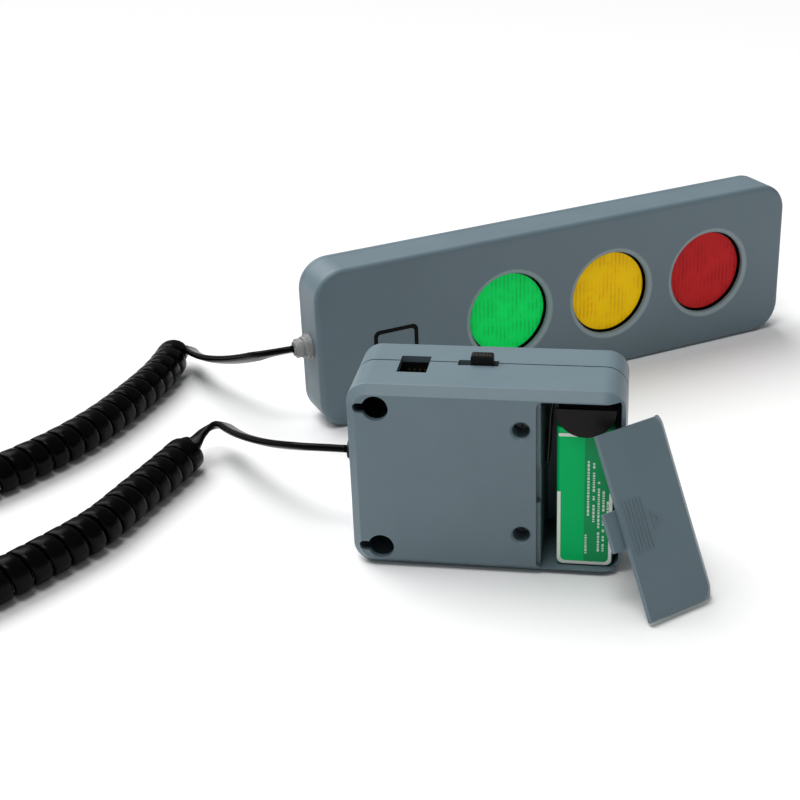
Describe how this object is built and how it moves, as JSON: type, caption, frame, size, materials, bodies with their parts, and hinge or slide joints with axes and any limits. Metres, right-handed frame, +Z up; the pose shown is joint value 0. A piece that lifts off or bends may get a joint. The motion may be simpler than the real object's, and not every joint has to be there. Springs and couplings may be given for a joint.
{
  "type": "gym round timer",
  "caption": "Wired round timer: a three-lamp signal bar joined by a curly cord to a small battery control box, its battery door off.",
  "frame": {"origin": "on the floor under the middle of the two housings and the loose battery door", "axes": "+Z up; -Y is the way the control box's rear face looks; +X is to the right when looking at that face"},
  "size_m": [0.3514, 0.303, 0.0644],
  "materials": {
    "housing": "fine satin texture",
    "steel": "zinc plated",
    "cord_black": "soft gloss vinyl",
    "clear_bush": "cloudy",
    "foam": "open foam",
    "board": "solder mask",
    "black_plastic": "satin",
    "capacitor": "sleeved",
    "brass": "bright",
    "battery_can": "printed sleeve",
    "contact": "nickel plated",
    "lens_green": "tinted, ribbed",
    "lens_amber": "tinted, ribbed",
    "lens_red": "tinted, ribbed",
    "white_plastic": "reflective",
    "lamp": "clear",
    "lead_red": "vinyl",
    "lead_black": "vinyl"
  },
  "bodies": {
    "timer": {"box_rear_cover": "housing", "box_front_shell": "housing", "bar_front_housing": "housing", "bar_rear_cover": "housing", "box_case_screws": "steel", "bar_screws": "steel", "box_cord_bush": "cord_black", "cord_lead_at_bar": "cord_black", "cord_coil": "cord_black", "cord_lead_at_box": "cord_black", "bar_cord_bush": "clear_bush", "box_circuit_board": "board", "bar_circuit_board": "board", "timer_chip": "black_plastic", "top_socket": "black_plastic", "switch_body": "black_plastic", "bar_resistors": "black_plastic", "board_capacitors": "capacitor", "sounder": "brass", "socket_contacts": "brass", "lens_green": "lens_green", "lens_amber": "lens_amber", "lens_red": "lens_red", "light_cup_green": "white_plastic", "light_cup_amber": "white_plastic", "light_cup_red": "white_plastic", "lamp_green": "lamp", "lamp_amber": "lamp", "lamp_red": "lamp"},
    "knob": {"switch_knob": "black_plastic"},
    "battery": {"battery_block": "battery_can", "battery_stud": "contact", "battery_snap_ring": "contact", "snap_cap": "black_plastic", "snap_contacts": "contact", "battery_lead_red": "lead_red", "battery_lead_black": "lead_black"},
    "door": {"battery_door": "housing", "door_foam_pad": "foam"}
  },
  "joints": [
    {"name": "switch_slide", "type": "slide", "parent": "timer", "child": "knob", "axis": [-1, 0, 0], "range_m": [0, 0.0036]},
    {"name": "door_lift_away", "type": "slide", "parent": "timer", "child": "door", "axis": [0.5851, -0.6613, 0.4695], "range_m": [0, 0.06]},
    {"name": "battery_out", "type": "slide", "parent": "timer", "child": "battery", "axis": [0, -1, 0], "range_m": [0, 0.042]}
  ],
  "couplings": [
    {"joint": "battery_out", "follows": "door_lift_away", "ratio": 0.7}
  ]
}
